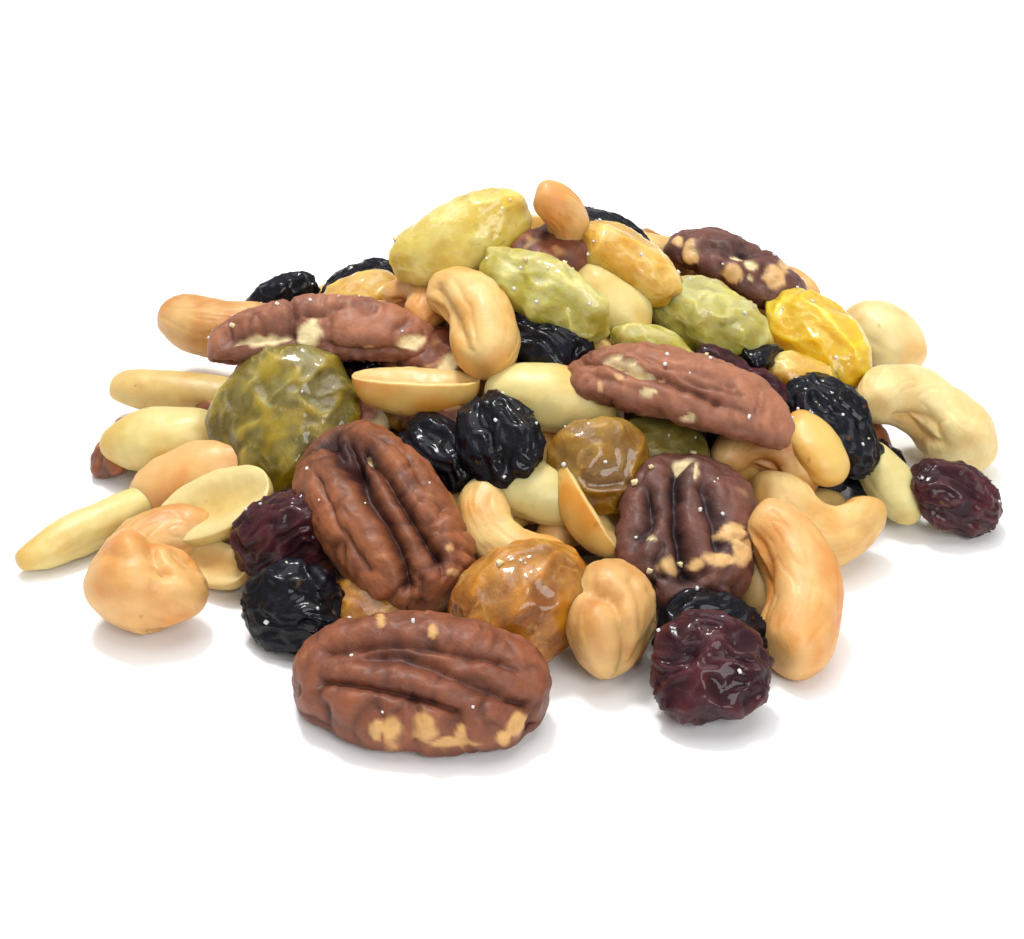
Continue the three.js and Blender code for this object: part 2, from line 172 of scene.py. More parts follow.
# What the front view shows of single pieces, beyond their kind's usual form. Places are measured
# from the piece's middle, as seen from the camera: millimetres to the right, and up. A dent is
# its half width, its depth, and the corners of the line that it follows; one of negative depth
# is a ridge. A bare or worn patch is its middle and its reach, each to the right and up.
MARKS = {
    "left pecan": {
        "dents": [
            (0.85, 3.1, [(-3.8, 7.2), (-1.8, 2.5), (0.8, -1.5), (2.8, -5.6), (3.8, -10.5)]),
            (0.8, 2.8, [(-1.8, 9.2), (0.4, 6.2), (3.3, 1.4), (5.6, -2.3), (7.9, -6.1)]),
            (0.4, 0.9, [(-8.5, 4.4), (-7.1, 1.4), (-5.5, -2.1), (-3.6, -4.8), (-1.6, -7.8)]),
            (0.3, 0.5, [(3, 10.4), (4.5, 6.6), (6.3, 4)]),
            (0.35, 0.8, [(6.1, -1.3), (7.9, -1.2), (9.1, 0.5)]),
            (0.3, 0.5, [(6.7, -2.1), (9.2, -2.6), (11.3, -2.8)]),
            (0.3, 0.9, [(8.3, -5.4), (8.8, -8.9)]), (0.35, 1, [(5.6, -9.3), (5.9, -13.1)]),
            (0.3, 0.4, [(4.1, -7.6), (5.6, -9.4)]), (1.1, 2.6, [(-3.8, 6.9), (-4.2, 10.6)]),
            (2, 3.6, [(-12.4, 9.6), (-8.6, 12.6)]), (0.8, 2.2, [(-8, 12), (-6, 8.6)]),
        ],
        "bare": [(1.3, 11.9, 0.9, 0.5), (-1.5, 8.6, 0.4, 0.8)],
        "worn": [(9.8, -4.8, 0.7, 0.6), (10, -8.3, 0.8, 0.5), (8.9, -12, 0.8, 0.6)],
    },
    "front pecan": {
        "dents": [
            (0.45, 1.3, [(-11.4, 3.6), (-7.8, 4.5), (-3.6, 4.9), (1.7, 4.3), (5.9, 3.3), (9.5, 2.3)]),
            (0.9, 2, [(-7.4, 3.3), (-2.7, 3.3), (1.7, 1.9), (5.9, 0), (9.8, -2), (13.4, -3)]),
            (0.6, 1.9, [
                (-12.1, -0.3), (-9.5, -0.5), (-6.1, -0.9), (-2.7, -1.7), (0.6, -2.7), (4.5, -4.2),
            ]),
            (0.5, 1.1, [(-0.7, -3), (-0.5, -5.1), (-0.6, -7.9)]),
            (0.4, 0.7, [(9.8, 2.5), (11.9, 1)]), (1.6, 1.4, [(-12.6, -7.4), (-13.6, -6)]),
            (1.4, 1.2, [(13.6, -7.6), (14.4, -6.4)]),
        ],
        "worn": [
            (-3.4, -6.2, 1.2, 2.3), (-5.1, -6.2, 0.8, 1.2), (0.7, -6, 1.6, 2.1),
            (5.1, -7, 0.7, 1.5), (11.9, -5.6, 1.7, 2), (10.2, -7.2, 1, 1), (3.8, -7.9, 3.2, 0.6),
            (-4.6, 7.2, 0.6, 0.7), (1.6, 6.1, 0.6, 0.9),
        ],
    },
    "dark pecan": {
        "dents": [
            (0.8, 2.9, [(-1.6, 8.4), (-1.5, 3.8), (-1.5, 0.7), (-0.8, -2.4), (-0.4, -6.5)]),
            (0.75, 2, [(-5.6, 5.4), (-5.4, 3.2), (-4.8, 1.6), (-5.9, -0.1), (-6.7, -0.8)]),
            (0.75, 2.2, [(2.2, 6.1), (2.9, 3.5), (3.6, 1), (3.9, -1), (4.3, -2.3)]),
            (0.5, 1.3, [(-0.1, -6.1), (1.1, -6.8), (2.2, -5.7)]),
            (1.1, 2, [(3.2, -9.5), (1.6, -10.5)]),
            (0.5, 1.2, [(-3.3, -2), (-4.2, -4.2), (-3.8, -6.2)]),
            (1.1, 2, [(-5.2, -7.6), (-6.4, -9)]),
        ],
        "bare": [(-0.8, 9.2, 1.6, 0.5), (1.1, 8, 0.3, 0.9), (-5, -0.9, 1, 0.5)],
        "worn": [
            (-2.4, -4.7, 1.6, 1.9), (5.9, -0.4, 1.8, 1.4), (7.3, -3.1, 1.4, 1.8),
            (3.9, -3.9, 2.6, 1), (1.4, -4.5, 1.2, 0.9),
        ],
    },
    "upper pecan": {
        "dents": [
            (0.6, 1.7, [(-13.9, 4.6), (-10.2, 4.7), (-6.6, 2.8), (-2.4, 1.8), (1.1, 0.4), (4.7, -1.5)]),
            (0.4, 0.6, [(4.7, -1.5), (8.7, -2.9)]),
            (0.3, 0.6, [(0.1, 2.2), (2.7, 1), (5.9, 0.1), (8.1, -0.5)]),
            (0.5, 0.6, [(-9.6, -3.3), (-5.2, -4.3), (-1.2, -5.5), (4.7, -6.7)]),
            (0.25, 0.4, [(10.2, -3.5), (10.6, -5.5)]),
            (0.35, 0.5, [(-12.4, 2.6), (-8, 0.9), (-3.4, -0.9), (1.6, -2.2)]),
            (0.3, 0.5, [(-6, 5.2), (-2, 3.6), (2.8, 2.6), (7, 0.8)]),
        ],
        "bare": [
            (-9.5, 4.9, 1.6, 0.5), (-8, 4.2, 1.6, 0.55), (-6.6, 3.4, 1.6, 0.55),
            (-5.2, 2.6, 1.5, 0.45), (-4.7, 0.2, 1.4, 0.45), (1, -3.6, 1.1, 0.55),
            (-1.7, -1.4, 0.3, 0.5),
        ],
        "worn": [(-11.1, 0.6, 0.5, 0.9), (-8.6, 2.2, 0.5, 0.5), (-2.8, 2.1, 0.6, 0.25)],
    },
    "long pecan": {
        "dents": [
            (1.7, 2.6, [(-13.1, -0.5), (-9.1, 0.2), (-5.6, 0.6)]),
            (0.35, 1.2, [(-5.2, 5.7), (-5, -1.4)]),
            (0.4, 1.1, [(-3.1, 3.7), (-0.2, 3.5), (2.1, 4.6)]),
            (0.5, 0.9, [(0.3, 2.6), (0.5, -0.9)]),
            (0.6, 1, [(0.3, -1.8), (5.8, -2.7), (10.3, -1.8)]),
        ],
        "bare": [(-9.4, -0.6, 4.2, 1.5), (-2.6, 0.6, 2.1, 2.7), (12.3, -0.7, 2.2, 1.2)],
        "worn": [(6.1, -1.8, 1, 0.5)],
    },
    "left cashew": {
        "dents": [
            (0.7, 1.9, [(-0.4, 6.3), (0.6, 3.4), (1.3, 2.3)]),
            (0.6, 0.8, [(-5.9, 4.5), (-3.2, 4.2), (-0.9, 5.4)]),
            (1.5, 0.5, [(0.8, 2.5), (-1.2, -4.1)]), (2, 2.4, [(4.4, 6.4), (6, 5.2)]),
            (1.6, 0.9, [(-7.5, -6.2), (-8, -5)]), (1.8, -1.3, [(-3.2, 6.8), (-3.4, 6.2)]),
        ],
    },
    "front cashew": {
        "dents": [
            (0.8, 1.7, [(-2.6, 4.3), (-0.4, 3), (1.1, 0.2), (1.8, -4), (1, -6.8)]),
            (0.7, 0.9, [(-5, 4.6), (-3, 4.2), (-1, 4.4), (0.6, 3.2)]),
            (1.8, -0.8, [(-2.5, 1.4), (-2.5, 0.2)]), (1.6, 1.3, [(4.6, -3.6), (4, -5.4)]),
            (0.4, 0.6, [(2.2, 6), (3, 2.6), (3.4, -0.4)]),
        ],
    },
    "top pecan": {
        "dents": [
            (0.3, 0.8, [(-9.2, 4.1), (-9.7, 2.2), (-8.8, 0.5)]),
            (0.4, 0.8, [(-5.6, 3.1), (-7.1, 1.5), (-7.3, -0.5)]),
            (0.35, 0.7, [(-3.4, 1), (-3, -1.8)]), (0.4, 1, [(0.6, 0), (0.6, -2.2)]),
            (0.5, 1.1, [(3.7, 0.8), (3.3, -1.9)]),
            (0.9, 1.2, [(-4.7, 4.1), (-2.3, 2.9), (0.7, 2.9)]),
            (0.4, 0.7, [(0.6, 3), (2.6, 3), (4, 3.6)]),
        ],
        "bare": [
            (-0.6, 2.2, 0.9, 0.5), (1.8, 0.8, 1.2, 0.9), (1.4, -1.1, 0.6, 0.6), (-7.3, 3, 0.7, 0.6),
        ],
        "worn": [
            (-9.7, 4.5, 0.9, 1), (-7.9, 2.9, 1.6, 2.2), (-1.5, -0.5, 1.9, 1.5), (5.2, -1.2, 1.7, 2),
            (6.7, 0.8, 1.2, 0.7),
        ],
    },
    "upper cashew": {
        "dents": [
            (0.8, 1.1, [(-4.4, 4.9), (-2, 0.9), (0, -4)]),
            (0.35, 0.4, [(-1.6, 6), (0.6, 2), (1.4, -2.4)]),
        ],
    },
}

# For each kind: its width and thickness as shares of its length, how blunt its ends are (the
# lower the blunter), half the arc that it bends through, how much fatter its +X end is, and its
# fineness, the mesh sides for each millimetre of its length. Pieces at the back and sunken ones
# have these shares of the fineness.
KINDS = {
    "pecan": {"wide": 0.56, "thick": 0.34, "blunt": 0.75, "fineness": 1.6},
    "bit": {"wide": 0.7, "thick": 0.4, "fineness": 1.6},
    "cashew": {"thick": 0.44, "arc": 88, "fat": 0.12, "fineness": 1.3},
    "peanut": {"wide": 0.55, "thick": 0.52, "blunt": 0.82, "fineness": 1.4},
    "split": {"wide": 0.55, "thick": 0.3, "fineness": 1.6},
    "golden": {"wide": 0.72, "thick": 0.5, "fineness": 1.75},
    "dark": {"wide": 0.75, "thick": 0.55, "fineness": 2},
}
BACK_FINENESS = 0.65
FILL_FINENESS = 0.45

# ---- Colours, as sRGB values from 0 to 255 ----

# The lights are strong enough to leave the floor pure white, so the food reflects this share less.
FOOD_SHARE = 0.74


def linear(colour):
    """The share of the light that the food reflects, by the sRGB curve, to show the colour."""
    share = np.array(colour) / 255
    return FOOD_SHARE * np.where(share <= 0.04045, share / 12.92, ((share + 0.055) / 1.055) ** 2.4)


def tints(table):
    """Each tint's colours as linear ones."""
    return {name: linear(colours) for name, colours in table.items()}


# Pecans: the lobes; the grooves' darker colour, which also paints shade in the hollows and
# underneath; and the worn places.
PECAN_TINTS = tints({
    "warm": ((172, 102, 62), (66, 32, 28), (236, 182, 120)),
    "rose": ((184, 120, 88), (96, 54, 46), (236, 186, 130)),
    "plum": ((158, 92, 62), (58, 30, 30), (244, 190, 118)),
    "dusk": ((128, 80, 66), (54, 33, 34), (255, 206, 138)),
})
PECAN_FLESH = linear((255, 232, 178))

# Nuts: the body and its toasted places; the toasted colour also paints shade in the cashews' seams
# and hollows and in the split's dish.
NUT_TINTS = tints({
    "cream": ((250, 214, 140), (238, 176, 92)),
    "ivory": ((255, 234, 168), (250, 204, 128)),
    "peach": ((250, 198, 126), (236, 156, 74)),
    "toasted": ((244, 198, 126), (222, 152, 80)),
    "pale": ((246, 226, 150), (236, 196, 104)),
    "sand": ((238, 204, 128), (218, 162, 80)),
    "honey": ((246, 206, 116), (230, 156, 54)),
    "green": ((236, 222, 154), (222, 196, 116)),
    "tan": ((214, 176, 112), (160, 112, 60)),
})
NUT_FLECK = linear((132, 78, 40))
SPLIT_FACE = linear((250, 232, 176))

# Raisins: the body, also in the dents as painted shade; the lighter colour, painted on raised skin
# as glow; and the pale colour of a frosted film, painted on ridges and up-facing skin as highlight
# and as the sky's reflection.
RAISIN_TINTS = tints({
    "olive": ((112, 92, 0), (180, 152, 8), (194, 188, 124)),
    "amber": ((152, 84, 0), (208, 134, 12), (230, 184, 104)),
    "topaz": ((230, 172, 48), (250, 210, 108), (250, 226, 160)),
    "ochre": ((136, 88, 0), (184, 134, 14), (212, 184, 110)),
    "moss": ((112, 96, 24), (150, 132, 54), (184, 170, 112)),
    "yellow": ((246, 194, 8), (255, 224, 46), (252, 236, 130)),
    "straw": ((236, 206, 84), (250, 232, 136), (250, 240, 184)),
    "lime": ((192, 178, 64), (230, 220, 122), (232, 232, 190)),
    "purple": ((50, 16, 24), (88, 34, 40), (112, 82, 88)),
    "black": ((5, 4, 9), (13, 11, 20), (40, 44, 64)),
})
RAISIN_SPECK = linear((150, 106, 62))
SALT = linear((248, 246, 240))

# ---- Relief ----

DRAW = np.random.default_rng(11)
NOISE_CELLS = 256
SHUFFLE = DRAW.permutation(NOISE_CELLS)
SLOPES = DRAW.normal(size=(NOISE_CELLS, 3))
SLOPES /= np.linalg.norm(SLOPES, axis=1, keepdims=True)
NOISE_GAIN = 1.6


def noise(points):
    """Smooth random bumps, each about one unit wide, mostly between -1 and 1."""
    cell = np.floor(points).astype(int)
    inside = points - cell
    blend = inside ** 3 * (inside * (inside * 6 - 15) + 10)
    total = np.zeros(len(points))
    for corner in np.ndindex(2, 2, 2):
        key = (cell + corner) & (NOISE_CELLS - 1)
        pick = SHUFFLE[key[:, 0]]
        pick = SHUFFLE[(pick + key[:, 1]) & (NOISE_CELLS - 1)]
        pick = SHUFFLE[(pick + key[:, 2]) & (NOISE_CELLS - 1)]
        weight = np.where(corner, blend, 1 - blend).prod(axis=1)
        total += weight * ((inside - corner) * SLOPES[pick]).sum(axis=1)
    return total * NOISE_GAIN


def bumps(grain, *layers):
    """Layers of noise added up: each is its height, its width, and a shift to set it apart."""
    total = 0
    for height, width, shift in layers:
        total = total + height * noise(grain / width + shift)
    return total


def warped(grain, reach, width):
    """The grain, pushed about by up to reach in swirls of that width."""
    swirl = grain / width
    return grain + reach * np.stack([noise(swirl), noise(swirl + 9), noise(swirl + 19)], axis=1)


def ease(value, low, high):
    """0 below low, 1 above high, and smooth between them."""
    share = np.clip((value - low) / (high - low), 0, 1)
    return share * share * (3 - 2 * share)


def mix(first, second, share):
    """Colours between first and second, one for each share."""
    return first + (second - first) * np.clip(share, 0, 1)[:, None]


def signed_power(value, power):
    return np.sign(value) * np.abs(value) ** power


def crease(offset, width):
    """A sharp-bottomed dent: 1 where offset is 0, and 0 beyond about twice the width."""
    return np.exp(-np.abs(offset / width) ** 1.5)


def trough(offset, width, flare):
    """A crease with shoulders that slope off over flare times its width."""
    return 0.6 * crease(offset, width) + 0.4 * crease(offset, flare * width)


# ---- The mound ----


def mound_height(x, y):
    out = np.hypot((x - MOUND_MIDDLE[0]) / MOUND_REACH[0], (y - MOUND_MIDDLE[1]) / MOUND_REACH[1])
    return MOUND_HEIGHT * np.maximum(0, 1 - out ** MOUND_POWER)


def mound_normal(x, y):
    step = 1.5
    slope_x = (mound_height(x + step, y) - mound_height(x - step, y)) / (2 * step)
    slope_y = (mound_height(x, y + step) - mound_height(x, y - step)) / (2 * step)
    normal = np.array([-slope_x, -slope_y, 1])
    return normal / np.linalg.norm(normal)


def turning(x, y, turn, tip, roll, level):
    """The rotation of a piece that lies at x, y."""
    turn, tip, roll = np.radians([turn, -tip, roll])
    about_z = np.array([[np.cos(turn), -np.sin(turn), 0], [np.sin(turn), np.cos(turn), 0], [0, 0, 1]])
    about_y = np.array([[np.cos(tip), 0, np.sin(tip)], [0, 1, 0], [-np.sin(tip), 0, np.cos(tip)]])
    about_x = np.array([[1, 0, 0], [0, np.cos(roll), -np.sin(roll)], [0, np.sin(roll), np.cos(roll)]])
    pose = about_z @ about_y @ about_x
    if level:
        return pose
    normal = mound_normal(x, y)
    lean = Vector((0, 0, 1)).rotation_difference(Vector(normal)).to_matrix()
    return np.array(lean) @ pose


# ---- Marks ----

# The camera's place in the layout, and the directions that are right, up and nearer as it sees.
CAMERA_PLACE = np.array([0, -245.9, 153.7])
CAMERA_ELEVATION = 32
VIEW = np.array([
    [1, 0, 0],
    [0, np.sin(np.radians(CAMERA_ELEVATION)), np.cos(np.radians(CAMERA_ELEVATION))],
    [0, -np.cos(np.radians(CAMERA_ELEVATION)), np.sin(np.radians(CAMERA_ELEVATION))],
])

# Marks fade between these two cosines of the angle between the skin's direction and the gaze.
MARK_FADE = (-0.7, 0.1)
# How far the lines of dents waver, how wide the waves are, and how far the shoulders reach.
DENT_WAVER = 0.25
DENT_WAVE = 2
DENT_FLARE = 2.5
# Where a patch's edge begins and ends, as shares of its reach.
PATCH_EDGE = (0.68, 1.1)


def from_line(points, line):
    """How far each point lies from a line with the given corners."""
    nearest = np.full(len(points), np.inf)
    for start, end in zip(line[:-1], line[1:]):
        way = np.subtract(end, start)
        share = np.clip((points - start) @ way / (way @ way), 0, 1)
        nearest = np.minimum(nearest, np.linalg.norm(points - start - share[:, None] * way, axis=1))
    return nearest


def broken(along, across, grain, patches):
    """1 inside the ragged patches, each given as its place and its reach, along and across."""
    inside = np.zeros(len(along))
    ragged = bumps(grain, (0.42, 1.9, 0), (0.12, 1.2, 0))
    for middle, side, reach, width in patches:
        out = np.hypot((along - middle) / reach, (across - side) / width) + ragged
        inside = np.maximum(inside, 1 - ease(out, *PATCH_EDGE))
    return inside


def marked(points, outward, middle, grain, name):
    """The marks that a piece shows to the front, and how far up each point's skin faces."""
    marks = MARKS.get(name, {})
    away = (points - CAMERA_PLACE) @ VIEW.T
    centre = VIEW @ (middle - CAMERA_PLACE)
    seen = away[:, :2] * (centre[2] / away[:, 2:]) - centre[:2]
    gaze = CAMERA_PLACE - middle
    facing = ease(outward @ gaze / np.linalg.norm(gaze), *MARK_FADE)
    wave = grain / DENT_WAVE
    wavy = seen + DENT_WAVER * np.stack([noise(wave), noise(wave + 9)], axis=1)
    dent = np.zeros(len(points))
    for width, depth, line in marks.get("dents", ()):
        dent += depth * trough(from_line(wavy, line), width, DENT_FLARE)
    return {
        "dent": dent * facing,
        "bare": broken(seen[:, 0], seen[:, 1], grain, marks.get("bare", ())) * facing,
        "worn": broken(seen[:, 0], seen[:, 1], grain, marks.get("worn", ())) * facing,
        "up": outward[:, 2],
    }


# ---- Forms ----
# A form gives the skin of a piece: a runs from 0 at the +X tip to pi at the -X tip, and b runs
# round the length, from +Y over the top. A finish gives its low relief, its colours, and how
# raw each point is, from 0 for skin to 1 for a broken face.

# Each furrow: its place across at the -X tip and at the +X tip, how wide and how deep it is, as
# shares of the half's width and thickness, and the stretch along the length that it runs over.
PECAN_FURROWS = (
    (-0.16, -0.14, 0.05, 0.26, -1, 1),
    (0.14, 0.18, 0.05, 0.26, -1, 1),
    (-0.62, -0.58, 0.06, 0.14, -0.9, 0.8),
    (0.6, 0.64, 0.06, 0.14, -0.8, 0.9),
)
FURROW_FLARE = 2.8
# Shares of a pecan half's thickness: what is above and below its widest level, how far it is
# hollowed from below, and how far it is lowered. Its bend is a share of its length.
PECAN_TOP = 0.66
PECAN_UNDER = 0.34
PECAN_HOLLOW = 0.22
PECAN_DROP = 0.16
PECAN_BEND = 0.05


def pecan_across(b):
    """Where a point lies across a pecan half, from 1 at its +Y rim to -1 at its -Y rim."""
    return np.where(b < np.pi, 1 - 2 * b / np.pi, 2 * b / np.pi - 3)


def pecan_furrow(a, across, size):
    """How deep the furrows are, as a share of the pecan's thickness."""
    along = np.cos(a)
    shift = size["number"]
    depth = np.zeros(len(a))
    # Marked pecans have the furrows that the photo shows instead.
    if "marks" in size:
        return depth
    for start, end, width, share, first, last in PECAN_FURROWS:
        middle = start + (end - start) * (along + 1) / 2
        waver = 0.03 * np.sin(4 * along + shift + 9 * start) + 0.012 * np.sin(13 * along + shift)
        profile = trough(across - middle - waver, width, FURROW_FLARE)
        reach = ease(along, first - 0.05, first + 0.15) * (1 - ease(along, last - 0.15, last + 0.05))
        depth += share * profile * (reach if first > -1 or last < 1 else 1)
    return depth * ease(np.sin(a), 0.02, 0.45)


def pecan_form(a, b, size):
    """Half a pecan, flat side down, its top cut lengthwise by furrows."""
    length, wide, thick = size["length"], size["wide"], size["thick"]
    across = pecan_across(b)
    rounding = np.sin(a) ** size["blunt"]
    depth = length * thick
    dome = np.maximum(0, 1 - np.abs(across) ** 2.4) ** 0.6
    hollow = np.exp(-((across / 0.3) ** 2)) * ease(np.sin(a), 0.25, 0.7)
    furrow = pecan_furrow(a, across, size)
    notch = 1 - 0.5 * furrow * ease(np.abs(np.cos(a)), 0.6, 1)
    top = PECAN_TOP * depth * rounding ** 0.8 * dome - depth * furrow
    under = -PECAN_UNDER * depth * rounding * dome + PECAN_HOLLOW * depth * hollow
    bend = PECAN_BEND * length * (np.cos(a) ** 2 - 0.4)
    return np.stack([
        length / 2 * np.cos(a) * notch,
        length * wide / 2 * rounding * signed_power(across, 0.85),
        np.where(b < np.pi, top, under) - bend - PECAN_DROP * depth,
    ], axis=1)


def pecan_finish(a, b, size, grain, tint, marks):
    across = pecan_across(b)
    along = np.cos(a)
    furrow = pecan_furrow(a, across, size) + marks["dent"] / (size["length"] * size["thick"])
    top = (b < np.pi).astype(float)
    edge = ease(np.abs(across), 0.35, 0.8)
    swirled = warped(grain, 1.2, 4)
    lumps = 0.45 * noise(grain / 5)
    cuts = crease(noise(swirled / [3.6, 9, 9] + 7), 0.12) * ease(noise(grain / 5 + 2), -0.4, 0.3)
    knots = 0.27 * noise(swirled / 1.9 + 3)
    lines = size.get("ripple", 0.06) * noise(grain / [0.8, 4, 4] + 13)
    dents = 0.08 * noise(grain / 0.75 + 23)
    relief = lumps + knots - 0.6 * cuts * (0.3 + 0.7 * edge) + lines + dents
    raw = marks["bare"]
    crumbly = bumps(grain, (0.3, 1.2, 0), (0.12, 0.5, 0)) - 0.35

    lobe, groove_and_shade, worn = PECAN_TINTS[tint]
    # Darker in the furrows, cuts and low relief: partly the grooves' darker skin, partly painted shade,
    # with some random tone. The 0.4 share on the underside is painted shade.
    shade = 0.1 + 0.25 * noise(grain / 4 + 61) - 0.9 * (knots + lines + dents)
    sunk = 2.9 * np.maximum(furrow, 0) + 0.35 * cuts + shade
    colour = mix(lobe, groove_and_shade, sunk * (0.4 + 0.6 * top) + 0.4 * (1 - top))
    rubbed = ease(noise(grain / 2.6 + 21) + 0.9 * knots - 4 * furrow, 0.5, 0.85)
    colour = mix(colour, worn, 0.28 * rubbed)
    colour = mix(colour, worn, 0.9 * marks["worn"])
    colour *= 1 + 0.12 * noise(grain / 6 + 31)[:, None]
    flesh = PECAN_FLESH * (1 + 0.14 * noise(grain / 0.9))[:, None]
    return relief * (1 - raw) + crumbly * raw, mix(colour, flesh, raw), raw


def oval_form(a, b, size, blunt):
    """An oval of the piece's length, width and thickness, the blunter the lower its last value."""
    length, rounding = size["length"], np.sin(a) ** blunt
    return np.stack([
        length / 2 * np.cos(a),
        length * size["wide"] / 2 * rounding * np.cos(b),
        length * size["thick"] / 2 * rounding * np.sin(b),
    ], axis=1)


def bit_form(a, b, size):
    """A broken-off bit of pecan: a blunt lump with one furrow."""
    skin = oval_form(a, b, size, 0.6)
    skin[:, 2] *= 1 - 0.3 * np.exp(-((np.cos(b) / 0.35) ** 2)) * (b < np.pi)
    return skin


def bit_finish(a, b, size, grain, tint, marks):
    relief = bumps(grain, (0.5, 3.2, 0), (0.2, 1.2, 0))
    raw = ease(np.cos(a) + 0.3 * noise(grain / 2), 0.7, 0.85)
    lobe, groove_and_shade, worn = PECAN_TINTS[tint]
    # Darker where the relief is low: painted shade in the hollows, over a random tone.
    colour = mix(lobe, groove_and_shade, 0.4 - 1.2 * relief)
    colour = mix(colour, worn, 0.5 * ease(noise(grain / 2 + 9), 0.2, 0.7))
    flesh = PECAN_FLESH * (1 + 0.16 * noise(grain / 0.8))[:, None]
    return relief - 0.2 * raw, mix(colour, flesh, raw), raw


def cashew_form(a, b, size):
    """A fat curved body with round tips, its hollow side towards -Y.

    It follows a circle that is large enough for the bent body to keep the piece's length.
    """
    half = np.radians(size["arc"])
    radius = size["length"] * size["thick"] / 2
    bend = size["length"] / 2 / np.sin(min(half * 0.78, np.pi / 2)) - radius
    along = np.cos(a)
    body = radius * np.sin(a) ** 0.55 * (0.93 + 0.12 * along ** 2 + size["fat"] * along)
    out = bend + body * np.cos(b)
    return np.stack([
        out * np.sin(half * along),
        out * np.cos(half * along) - bend * (0.5 + 0.5 * np.cos(half)),
        body * np.sin(b) * 0.96,
    ], axis=1)


def cashew_finish(a, b, size, grain, tint, marks):
    along = np.cos(a)
    inner = ease(np.sin(a), 0.15, 0.6)
    wander = 0.22 * np.sin(2.6 * along + size["number"])
    seam = crease(np.abs(b - np.pi) - 0.05 + wander, 0.22) * inner
    back_seam = crease(np.minimum(b, 2 * np.pi - b) + 0.6 * wander, 0.16) * inner
    lumps = bumps(grain, (0.55, 6.5, 0), (0.16, 2.6, 0), (0.03, 1.1, 0))
    stretched = np.stack([along * 1.6, 2.6 * np.cos(b), 2.6 * np.sin(b)], axis=1) + size["number"]
    lines = noise(stretched)
    creases = 0.08 * lines - 0.14 * crease(lines, 0.1)
    relief = lumps + creases * inner - 0.75 * seam - 0.2 * back_seam
    body, toasted = NUT_TINTS[tint]
    patches = bumps(grain, (0.8, 6, 11), (0.4, 2.5, 3))
    # More toasted colour in the seams and low relief: partly toasting, partly painted shade in the
    # hollows.
    colour = mix(body, toasted, ease(patches + 0.35 * seam - 0.6 * relief, -0.6, 0.9))
    fleck = ease(bumps(grain, (1, 0.7, 17), (0.4, 6, 0)), 0.9, 1.05)
    return relief, mix(colour, NUT_FLECK, 0.5 * fleck), np.zeros(len(a))


def peanut_form(a, b, size):
    """A whole peanut, with a small nib at its +X tip."""
    skin = oval_form(a, b, size, size["blunt"])
    skin[:, 0] *= 1 + 0.1 * ease(np.cos(a), 0.8, 1)
    return skin


def peanut_finish(a, b, size, grain, tint, marks):
    along = np.cos(a)
    seam = crease(np.abs(np.sin(b)) + 0.08 * np.sin(3 * along), 0.1) * ease(np.sin(a), 0.05, 0.5)
    relief = bumps(grain, (0.3, 5, 0), (0.08, 1.8, 0)) - 0.16 * seam
    body, toasted = NUT_TINTS[tint]
    patches = bumps(grain, (1, 5, 11), (0.3, 1.8, 0))
    colour = mix(body, toasted, ease(patches + 0.9 * ease(along, 0.7, 1), -0.2, 1.2))
    fleck = ease(bumps(grain, (1, 0.8, 17), (0.5, 5, 0)), 0.85, 1)
    return relief, mix(colour, NUT_FLECK, 0.6 * fleck), np.zeros(len(a))


def split_form(a, b, size):
    """Half a peanut, its flat, slightly hollow face up."""
    rounding = np.sin(a) ** 0.75
    across = np.cos(b)
    depth = size["length"] * size["thick"]
    rim = 0.12 * np.abs(np.sin(b)) ** 0.5
    dish = 0.38 * np.exp(-((across / 0.44) ** 2)) * rounding
    height = np.where(b < np.pi, rim - dish, -np.abs(np.sin(b)) ** 0.9)
    return np.stack([
        size["length"] / 2 * np.cos(a),
        size["length"] * size["wide"] / 2 * rounding * signed_power(across, 0.8),
        depth * rounding * height + 0.35 * depth,
    ], axis=1)


def split_finish(a, b, size, grain, tint, marks):
    face = ease(np.sin(b), 0, 0.25)
    relief = 0.16 * noise(grain / 3.5) + 0.07 * noise(grain / 1.1) * face
    body, toasted = NUT_TINTS[tint]
    colour = mix(body, toasted, ease(noise(grain / 4 + 11) + 0.35, -0.2, 1))
    # The middle of the face's dish takes the toasted colour: painted shade in the hollow.
    dish = np.exp(-((np.cos(b) / 0.4) ** 2)) * np.sin(a)
    colour = mix(colour, mix(0.5 * (SPLIT_FACE + body), toasted, 0.75 * dish), 0.85 * face)
    fleck = ease(noise(grain / 1.2 + 17), 0.6, 0.8)
    return relief, mix(colour, NUT_FLECK, 0.4 * fleck), np.zeros(len(a))


def raisin_form(a, b, size):
    """A soft, dented oval, each with dents of its own."""
    shift = size["number"] * 2.4
    waves = np.sin(2 * a + shift) * np.cos(2 * b + 1.7 * shift) + np.cos(3 * b + 0.6 * shift)
    dent = 1 + 0.08 * np.sin(a) * waves
    return oval_form(a, b, size, 0.9) * dent[:, None]


def raisin_colour(relief, grain, tint, pale, speck_share):
    """Painted shade in dents and glow on raised skin, paler painted sheen where pale says, specks of
    the given strength.
    """
    body, glow, skin = RAISIN_TINTS[tint]
    # Random tone, lighter on raised skin and darker in the dents: painted glow and painted shade.
    lit = ease(bumps(grain, (0.9, 4.2, 41), (0.4, 1.6, 0)) + relief, -0.4, 0.8)
    colour = mix(mix(body, glow, lit), skin, pale)
    speck = ease(bumps(grain, (1, 0.8, 51), (0.4, 4, 3)), 0.75, 0.9)
    return mix(colour, RAISIN_SPECK, speck_share * speck)


